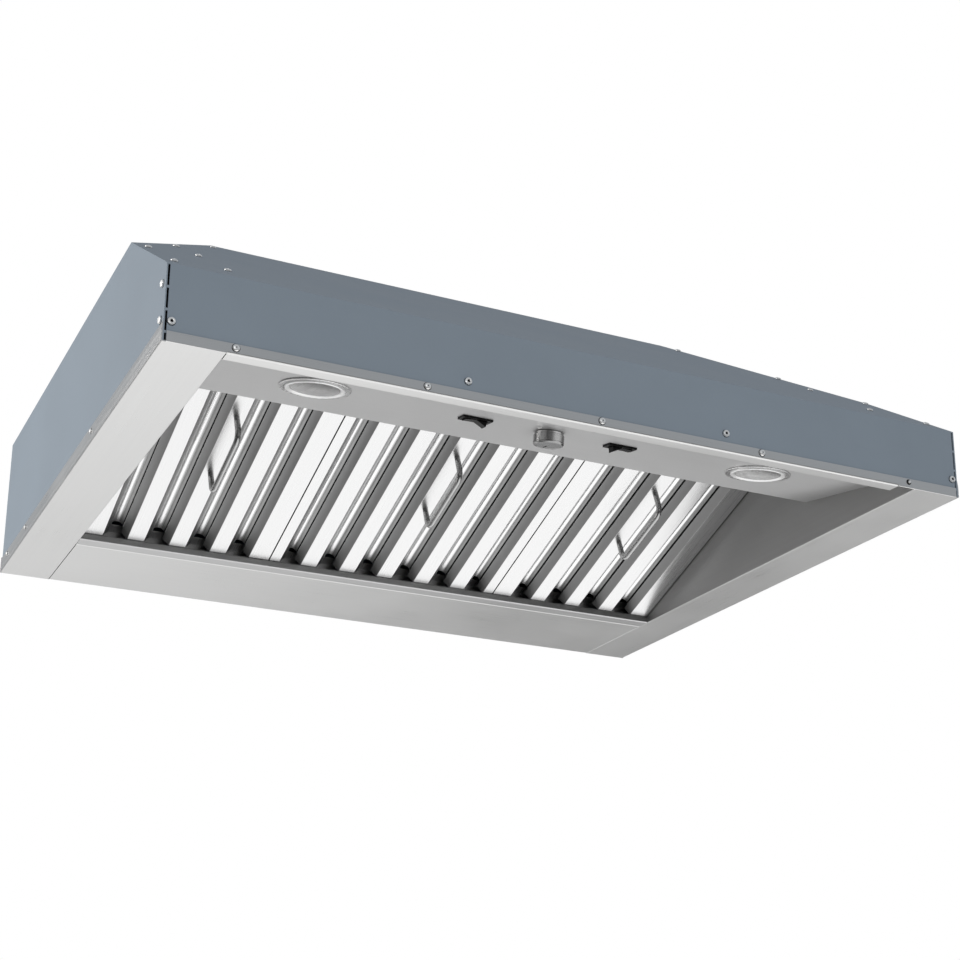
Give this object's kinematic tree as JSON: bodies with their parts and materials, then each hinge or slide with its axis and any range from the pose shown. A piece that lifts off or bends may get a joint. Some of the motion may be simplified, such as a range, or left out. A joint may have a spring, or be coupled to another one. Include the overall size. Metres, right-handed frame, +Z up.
{
  "type": "range hood insert",
  "caption": "Sheet-metal range hood insert with a sloping body, lamps, switches and a knob on a front panel, and lift-out baffle filters.",
  "frame": {"origin": "on the rim plane, under the middle of the body", "axes": "+X to the right along the front, +Y to the rear, +Z up"},
  "size_m": [0.8762, 0.7264, 0.351],
  "materials": {
    "shell": "satin",
    "rim": "brushed",
    "lens": "fluted",
    "bulb": "gloss",
    "handle": "satin",
    "switch": "matte",
    "knob": "brushed",
    "motor": "satin",
    "zinc": "satin",
    "hardware": "polished",
    "bezel": "satin"
  },
  "bodies": {
    "housing": {"front_panel": "shell", "left_side_panel": "shell", "right_side_panel": "shell", "left_roof_panel": "shell", "right_roof_panel": "shell", "top_panel": "shell", "rear_panel": "shell", "left_corner_angle": "zinc", "right_corner_angle": "zinc", "front_rim": "rim", "left_rim_flange": "rim", "right_rim_flange": "rim", "rear_pan": "rim", "grease_trough": "rim", "left_inner_wall": "rim", "right_inner_wall": "rim", "control_panel": "rim", "left_lamp_bezel": "bezel", "right_lamp_bezel": "bezel", "left_lamp_lens": "lens", "right_lamp_lens": "lens", "left_lamp_bulb": "bulb", "right_lamp_bulb": "bulb", "left_lamp_can": "zinc", "right_lamp_can": "zinc", "left_switch_body": "switch", "right_switch_body": "switch", "speed_control": "motor", "blower_scroll": "zinc", "left_blower_side": "zinc", "right_blower_side": "zinc", "blower_motor": "motor", "motor_bracket": "zinc", "duct_collar": "zinc", "damper_pin": "zinc", "junction_box": "zinc", "front_face_screws": "hardware", "lip_screws": "hardware", "side_screws": "hardware", "slope_screws": "hardware"},
    "left_filter": {"left_filter_frame": "rim", "left_front_baffles": "rim", "left_rear_baffles": "rim", "left_filter_handle": "handle"},
    "middle_filter": {"middle_filter_frame": "rim", "middle_front_baffles": "rim", "middle_rear_baffles": "rim", "middle_filter_handle": "handle"},
    "right_filter": {"right_filter_frame": "rim", "right_front_baffles": "rim", "right_rear_baffles": "rim", "right_filter_handle": "handle"},
    "left_switch_rocker": {"left_rocker": "switch"},
    "right_switch_rocker": {"right_rocker": "switch"},
    "knob": {"speed_knob": "knob", "control_shaft": "hardware"},
    "fan": {"blower_wheel": "zinc", "blower_shaft": "hardware"},
    "front_flap": {"front_damper_flap": "zinc"},
    "rear_flap": {"rear_damper_flap": "zinc"}
  },
  "joints": [
    {"name": "left_lift", "type": "slide", "parent": "housing", "child": "left_filter", "axis": [0, -0.9354, 0.3535], "range_m": [0, 0.022]},
    {"name": "middle_lift", "type": "slide", "parent": "housing", "child": "middle_filter", "axis": [0, -0.9354, 0.3535], "range_m": [0, 0.022]},
    {"name": "right_lift", "type": "slide", "parent": "housing", "child": "right_filter", "axis": [0, -0.9354, 0.3535], "range_m": [0, 0.022]},
    {"name": "left_switch_rock", "type": "hinge", "parent": "housing", "child": "left_switch_rocker", "pos_m": [-0.0835, -0.25073, 0.03747], "axis": [0, 0.986, 0.1668], "range_deg": [-22, 0]},
    {"name": "right_switch_rock", "type": "hinge", "parent": "housing", "child": "right_switch_rocker", "pos_m": [0.0835, -0.25073, 0.03747], "axis": [0, 0.986, 0.1668], "range_deg": [0, 22]},
    {"name": "speed_knob_turn", "type": "hinge", "parent": "housing", "child": "knob", "pos_m": [0, -0.2504, 0.0355], "axis": [0, -0.1668, 0.986], "range_deg": [0, 270]},
    {"name": "fan_spin", "type": "hinge", "parent": "housing", "child": "fan", "pos_m": [0, 0.135, 0.1888], "axis": [1, 0, 0], "continuous": true},
    {"name": "front_flap_open", "type": "hinge", "parent": "housing", "child": "front_flap", "pos_m": [0, 0.199, 0.32], "axis": [-1, 0, 0], "range_deg": [0, 80]},
    {"name": "rear_flap_open", "type": "hinge", "parent": "housing", "child": "rear_flap", "pos_m": [0, 0.199, 0.32], "axis": [1, 0, 0], "range_deg": [0, 80]}
  ]
}
